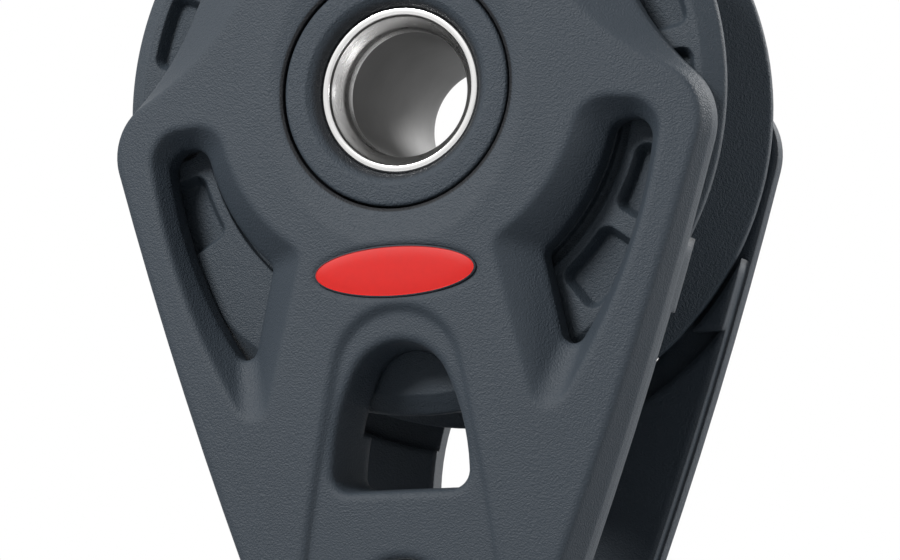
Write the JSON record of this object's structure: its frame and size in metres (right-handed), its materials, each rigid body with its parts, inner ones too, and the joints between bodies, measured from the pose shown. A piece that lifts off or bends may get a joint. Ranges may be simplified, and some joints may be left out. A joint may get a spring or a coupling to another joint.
{
  "type": "sailing block",
  "caption": "Lashing-head sailing block: a grooved sheave on a roller bearing with side balls, between two moulded cheeks clamped by a stainless hub tube and a bushed head.",
  "frame": {"origin": "centre of the hub bore, on the sheave's mid-plane", "axes": "+Y along the hub bore from the front cheek to the rear cheek, +Z away from the head, +X to the right seen from the front"},
  "size_m": [0.1, 0.0508, 0.1549],
  "materials": {
    "cheek_composite": "fine moulded grain, slate grey",
    "cap_composite": "fine moulded grain, slate grey",
    "sheave_composite": "moulded grain, slate grey",
    "stainless": "polished",
    "bearing_steel": "ground",
    "bearing_plastic": "smooth",
    "ball_plastic": "smooth",
    "badge": "smooth red"
  },
  "bodies": {
    "frame": {"front_cheek": "cheek_composite", "rear_cheek": "cheek_composite", "front_hub_cap": "cap_composite", "rear_hub_cap": "cap_composite", "hub_tube": "stainless", "inner_race": "bearing_steel", "front_thrust_washer": "bearing_plastic", "rear_thrust_washer": "bearing_plastic", "head_bush": "stainless", "head_bush_nut": "stainless", "head_spacer": "cheek_composite", "badge_inlay": "badge"},
    "sheave": {"sheave": "sheave_composite", "front_sheave_flange": "sheave_composite", "rear_sheave_flange": "sheave_composite", "outer_race": "bearing_steel", "front_race_cover": "bearing_plastic", "rear_race_cover": "bearing_plastic"},
    "roller_cage": {"roller_cage": "bearing_plastic"},
    "front_ball_cage": {"front_ball_cage": "bearing_plastic", "front_balls": "ball_plastic"},
    "rear_ball_cage": {"rear_ball_cage": "bearing_plastic", "rear_balls": "ball_plastic"},
    "roller_01": {"roller_01": "bearing_steel"},
    "roller_02": {"roller_02": "bearing_steel"},
    "roller_03": {"roller_03": "bearing_steel"},
    "roller_04": {"roller_04": "bearing_steel"},
    "roller_05": {"roller_05": "bearing_steel"},
    "roller_06": {"roller_06": "bearing_steel"},
    "roller_07": {"roller_07": "bearing_steel"},
    "roller_08": {"roller_08": "bearing_steel"},
    "roller_09": {"roller_09": "bearing_steel"},
    "roller_10": {"roller_10": "bearing_steel"},
    "roller_11": {"roller_11": "bearing_steel"},
    "roller_12": {"roller_12": "bearing_steel"},
    "roller_13": {"roller_13": "bearing_steel"},
    "roller_14": {"roller_14": "bearing_steel"},
    "roller_15": {"roller_15": "bearing_steel"}
  },
  "joints": [
    {"name": "sheave_spin", "type": "hinge", "parent": "frame", "child": "sheave", "pos_m": [0, 0, 0], "axis": [0, 1, 0], "continuous": true},
    {"name": "roller_cage_orbit", "type": "hinge", "parent": "frame", "child": "roller_cage", "pos_m": [0, 0, 0], "axis": [0, 1, 0], "continuous": true},
    {"name": "front_ball_cage_orbit", "type": "hinge", "parent": "frame", "child": "front_ball_cage", "pos_m": [0, 0, 0], "axis": [0, 1, 0], "continuous": true},
    {"name": "rear_ball_cage_orbit", "type": "hinge", "parent": "frame", "child": "rear_ball_cage", "pos_m": [0, 0, 0], "axis": [0, 1, 0], "continuous": true},
    {"name": "roller_01_spin", "type": "hinge", "parent": "roller_cage", "child": "roller_01", "pos_m": [0.019, 0, 0], "axis": [0, 1, 0], "continuous": true},
    {"name": "roller_02_spin", "type": "hinge", "parent": "roller_cage", "child": "roller_02", "pos_m": [0.01736, 0, 0.00773], "axis": [0, 1, 0], "continuous": true},
    {"name": "roller_03_spin", "type": "hinge", "parent": "roller_cage", "child": "roller_03", "pos_m": [0.01271, 0, 0.01412], "axis": [0, 1, 0], "continuous": true},
    {"name": "roller_04_spin", "type": "hinge", "parent": "roller_cage", "child": "roller_04", "pos_m": [0.00587, 0, 0.01807], "axis": [0, 1, 0], "continuous": true},
    {"name": "roller_05_spin", "type": "hinge", "parent": "roller_cage", "child": "roller_05", "pos_m": [-0.00199, 0, 0.0189], "axis": [0, 1, 0], "continuous": true},
    {"name": "roller_06_spin", "type": "hinge", "parent": "roller_cage", "child": "roller_06", "pos_m": [-0.0095, 0, 0.01645], "axis": [0, 1, 0], "continuous": true},
    {"name": "roller_07_spin", "type": "hinge", "parent": "roller_cage", "child": "roller_07", "pos_m": [-0.01537, 0, 0.01117], "axis": [0, 1, 0], "continuous": true},
    {"name": "roller_08_spin", "type": "hinge", "parent": "roller_cage", "child": "roller_08", "pos_m": [-0.01858, 0, 0.00395], "axis": [0, 1, 0], "continuous": true},
    {"name": "roller_09_spin", "type": "hinge", "parent": "roller_cage", "child": "roller_09", "pos_m": [-0.01858, 0, -0.00395], "axis": [0, 1, 0], "continuous": true},
    {"name": "roller_10_spin", "type": "hinge", "parent": "roller_cage", "child": "roller_10", "pos_m": [-0.01537, 0, -0.01117], "axis": [0, 1, 0], "continuous": true},
    {"name": "roller_11_spin", "type": "hinge", "parent": "roller_cage", "child": "roller_11", "pos_m": [-0.0095, 0, -0.01645], "axis": [0, 1, 0], "continuous": true},
    {"name": "roller_12_spin", "type": "hinge", "parent": "roller_cage", "child": "roller_12", "pos_m": [-0.00199, 0, -0.0189], "axis": [0, 1, 0], "continuous": true},
    {"name": "roller_13_spin", "type": "hinge", "parent": "roller_cage", "child": "roller_13", "pos_m": [0.00587, 0, -0.01807], "axis": [0, 1, 0], "continuous": true},
    {"name": "roller_14_spin", "type": "hinge", "parent": "roller_cage", "child": "roller_14", "pos_m": [0.01271, 0, -0.01412], "axis": [0, 1, 0], "continuous": true},
    {"name": "roller_15_spin", "type": "hinge", "parent": "roller_cage", "child": "roller_15", "pos_m": [0.01736, 0, -0.00773], "axis": [0, 1, 0], "continuous": true}
  ],
  "couplings": [
    {"joint": "roller_cage_orbit", "follows": "sheave_spin", "ratio": 0.57895},
    {"joint": "front_ball_cage_orbit", "follows": "sheave_spin", "ratio": 0.5},
    {"joint": "rear_ball_cage_orbit", "follows": "sheave_spin", "ratio": 0.5},
    {"joint": "roller_01_spin", "follows": "sheave_spin", "ratio": 3.0877},
    {"joint": "roller_02_spin", "follows": "sheave_spin", "ratio": 3.0877},
    {"joint": "roller_03_spin", "follows": "sheave_spin", "ratio": 3.0877},
    {"joint": "roller_04_spin", "follows": "sheave_spin", "ratio": 3.0877},
    {"joint": "roller_05_spin", "follows": "sheave_spin", "ratio": 3.0877},
    {"joint": "roller_06_spin", "follows": "sheave_spin", "ratio": 3.0877},
    {"joint": "roller_07_spin", "follows": "sheave_spin", "ratio": 3.0877},
    {"joint": "roller_08_spin", "follows": "sheave_spin", "ratio": 3.0877},
    {"joint": "roller_09_spin", "follows": "sheave_spin", "ratio": 3.0877},
    {"joint": "roller_10_spin", "follows": "sheave_spin", "ratio": 3.0877},
    {"joint": "roller_11_spin", "follows": "sheave_spin", "ratio": 3.0877},
    {"joint": "roller_12_spin", "follows": "sheave_spin", "ratio": 3.0877},
    {"joint": "roller_13_spin", "follows": "sheave_spin", "ratio": 3.0877},
    {"joint": "roller_14_spin", "follows": "sheave_spin", "ratio": 3.0877},
    {"joint": "roller_15_spin", "follows": "sheave_spin", "ratio": 3.0877}
  ]
}
